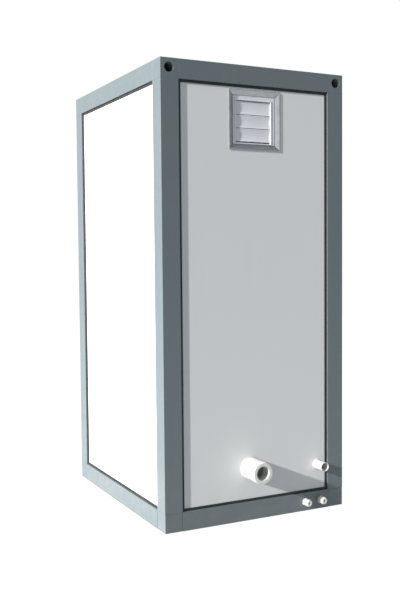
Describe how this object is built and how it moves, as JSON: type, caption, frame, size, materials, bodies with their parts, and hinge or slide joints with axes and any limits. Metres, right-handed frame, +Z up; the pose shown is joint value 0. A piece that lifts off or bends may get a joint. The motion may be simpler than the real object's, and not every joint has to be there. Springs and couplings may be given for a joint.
{
  "type": "portable sanitary cabin",
  "caption": "Portable sanitary cabin: steel corner-post frame, recessed white panels, door, louvred vent, WC, wash basin and pipe outlets at the rear.",
  "frame": {"origin": "middle of the rectangular frame's footprint at ground level, the pipes and door handle left out", "axes": "+Z up, +Y towards the vent and pipe end, door at -Y, +X to the right seen from the door"},
  "size_m": [1.1, 1.4725, 2.4],
  "materials": {
    "frame_paint": "satin powder coat on steel",
    "white_panel": "smooth coated steel skin",
    "rubber": "matt",
    "galvanised": "galvanised",
    "deck": "sealed floor deck",
    "steel": "satin",
    "vent_metal": "brushed aluminium",
    "white_plastic": "gloss",
    "pvc": "semi-gloss",
    "ceramic": "glazed",
    "chrome": "polished",
    "mirror": "polished",
    "diffuser": "opal",
    "paper": "soft",
    "copper": "drawn tube",
    "dark_plastic": "matt"
  },
  "bodies": {
    "cabin": {"corner_posts": "frame_paint", "top_corner_blocks": "frame_paint", "bottom_corner_blocks": "frame_paint", "top_rails": "frame_paint", "bottom_rails": "frame_paint", "floor_joists": "galvanised", "floor_deck": "deck", "roof_sheet": "galvanised", "ceiling_panel": "white_panel", "rear_wall_panel": "white_panel", "left_wall_panel": "white_panel", "right_wall_panel": "white_panel", "rear_gasket": "rubber", "side_gaskets": "rubber", "door_frame": "frame_paint", "door_transom": "white_panel", "hinge_frame_plates": "steel", "strike_plate": "steel", "vent_trim": "vent_metal", "louvre_frame": "white_plastic", "fan_housing": "white_plastic", "fan_motor": "dark_plastic", "soil_coupling": "pvc", "soil_bush": "pvc", "waste_pipe": "pvc", "supply_inlets": "pvc", "supply_pipes": "copper", "wc_bowl": "ceramic", "wc_cistern": "ceramic", "cistern_lid": "ceramic", "flush_valve": "white_plastic", "seat_hinges": "chrome", "wash_basin": "ceramic", "mixer_body": "chrome", "bottle_trap": "white_plastic", "mirror": "mirror", "ceiling_light": "diffuser", "switch_plate": "white_plastic", "roll_holder": "chrome"},
    "door": {"door_leaf": "white_panel", "hinge_leaf_plates": "steel", "handle_plates": "steel"},
    "lever_handles": {"outer_handle": "steel", "inner_handle": "steel"},
    "latch": {"latch_bolt": "steel"},
    "turn": {"thumb_turn": "steel"},
    "bolt": {"dead_bolt": "steel"},
    "flap_top": {"vent_flap_top": "white_plastic"},
    "flap_middle": {"vent_flap_middle": "white_plastic"},
    "flap_bottom": {"vent_flap_bottom": "white_plastic"},
    "fan": {"fan_impeller": "white_plastic"},
    "cold_handle": {"cold_valve_handle": "chrome"},
    "hot_handle": {"hot_valve_handle": "chrome"},
    "seat": {"wc_seat": "white_plastic"},
    "lid": {"wc_lid": "white_plastic"},
    "button": {"flush_button": "chrome"},
    "mixer_turn": {"mixer_cap": "chrome"},
    "mixer_lift": {"mixer_lever": "chrome"},
    "rocker": {"switch_rocker": "white_plastic"},
    "roll": {"toilet_roll": "paper"}
  },
  "joints": [
    {"name": "door_hinge", "type": "hinge", "parent": "cabin", "child": "door", "pos_m": [-0.408, -0.65, 1.1], "axis": [0, 0, -1], "range_deg": [0, 100]},
    {"name": "handle_turn", "type": "hinge", "parent": "door", "child": "lever_handles", "pos_m": [0.35, -0.62, 1.1], "axis": [0, -1, 0], "range_deg": [0, 35], "stiffness_Nm_per_rad": 1.2, "springref_deg": -34.38},
    {"name": "latch_slide", "type": "slide", "parent": "door", "child": "latch", "axis": [-1, 0, 0], "range_m": [0, 0.012]},
    {"name": "bolt_turn", "type": "hinge", "parent": "door", "child": "turn", "pos_m": [0.35, -0.62, 1.02], "axis": [0, -1, 0], "range_deg": [0, 90]},
    {"name": "bolt_slide", "type": "slide", "parent": "door", "child": "bolt", "axis": [1, 0, 0], "range_m": [0, 0.014]},
    {"name": "flap_top_hinge", "type": "hinge", "parent": "cabin", "child": "flap_top", "pos_m": [0.005, 0.624, 2.215], "axis": [1, 0, 0], "range_deg": [0, 70]},
    {"name": "flap_middle_hinge", "type": "hinge", "parent": "cabin", "child": "flap_middle", "pos_m": [0.005, 0.624, 2.145], "axis": [1, 0, 0], "range_deg": [0, 70]},
    {"name": "flap_bottom_hinge", "type": "hinge", "parent": "cabin", "child": "flap_bottom", "pos_m": [0.005, 0.624, 2.075], "axis": [1, 0, 0], "range_deg": [0, 70]},
    {"name": "fan_spin", "type": "hinge", "parent": "cabin", "child": "fan", "pos_m": [0.005, 0.562, 2.121], "axis": [0, 1, 0], "continuous": true},
    {"name": "cold_valve_turn", "type": "hinge", "parent": "cabin", "child": "cold_handle", "pos_m": [-0.44, 0.408, 0.645], "axis": [0, -1, 0], "range_deg": [0, 90]},
    {"name": "hot_valve_turn", "type": "hinge", "parent": "cabin", "child": "hot_handle", "pos_m": [-0.302, 0.408, 0.645], "axis": [0, -1, 0], "range_deg": [0, 90]},
    {"name": "seat_hinge", "type": "hinge", "parent": "cabin", "child": "seat", "pos_m": [0.04, 0.362, 0.523], "axis": [-1, 0, 0], "range_deg": [0, 84]},
    {"name": "lid_hinge", "type": "hinge", "parent": "cabin", "child": "lid", "pos_m": [0.04, 0.362, 0.523], "axis": [-1, 0, 0], "range_deg": [-91, 0]},
    {"name": "flush_press", "type": "slide", "parent": "cabin", "child": "button", "axis": [0, 0, -1], "range_m": [0, 0.004], "stiffness_N_per_m": 400, "springref_m": -0.004},
    {"name": "mixer_swivel", "type": "hinge", "parent": "cabin", "child": "mixer_turn", "pos_m": [-0.462, 0.33, 0.965], "axis": [0, 0, 1], "range_deg": [-45, 45]},
    {"name": "mixer_lift", "type": "hinge", "parent": "mixer_turn", "child": "mixer_lift", "pos_m": [-0.462, 0.33, 0.982], "axis": [0, -1, 0], "range_deg": [0, 25]},
    {"name": "switch_rock", "type": "hinge", "parent": "cabin", "child": "rocker", "pos_m": [0.483, -0.44, 1.24], "axis": [0, 1, 0], "range_deg": [0, 4]},
    {"name": "roll_spin", "type": "hinge", "parent": "cabin", "child": "roll", "pos_m": [0.415, 0.06, 0.7471], "axis": [0, 1, 0], "continuous": true}
  ],
  "couplings": [
    {"joint": "latch_slide", "follows": "handle_turn", "m_per_rad": 0.019643},
    {"joint": "bolt_slide", "follows": "bolt_turn", "m_per_rad": 0.008912}
  ]
}
